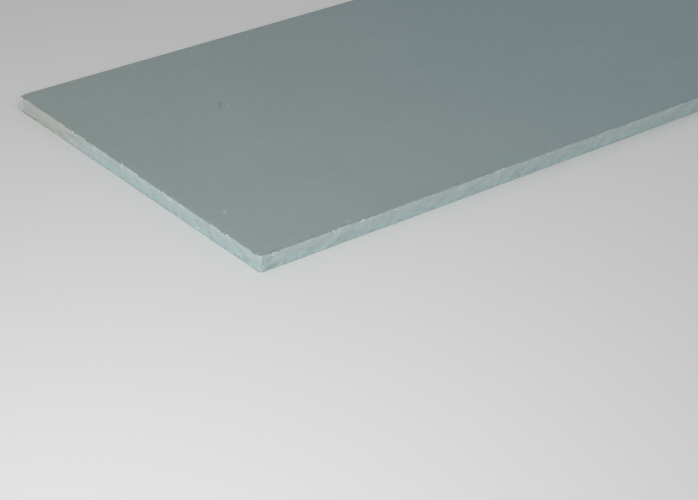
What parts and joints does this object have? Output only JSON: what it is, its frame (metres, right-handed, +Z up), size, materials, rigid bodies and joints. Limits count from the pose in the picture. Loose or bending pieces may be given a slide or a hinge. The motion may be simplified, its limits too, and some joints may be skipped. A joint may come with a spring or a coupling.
{
  "type": "drywall sheet",
  "caption": "Flat strip of plasterboard: white gypsum core between grey face paper and brown-grey back paper, with one long paper-bound edge and cut edges elsewhere.",
  "frame": {"origin": "middle of the back, on the floor that the sheet lies on", "axes": "+X along the length, +Y from the cut long side to the paper-bound long side, +Z up from the back to the face"},
  "size_m": [1.2, 0.3, 0.0125],
  "materials": {
    "gypsum": "chalky white cut gypsum",
    "face_paper": "matt grey paper",
    "back_paper": "matt brown-grey recycled paper"
  },
  "bodies": {
    "root": {"gypsum_core": "gypsum", "face_paper": "face_paper", "back_paper": "back_paper"}
  },
  "joints": []
}
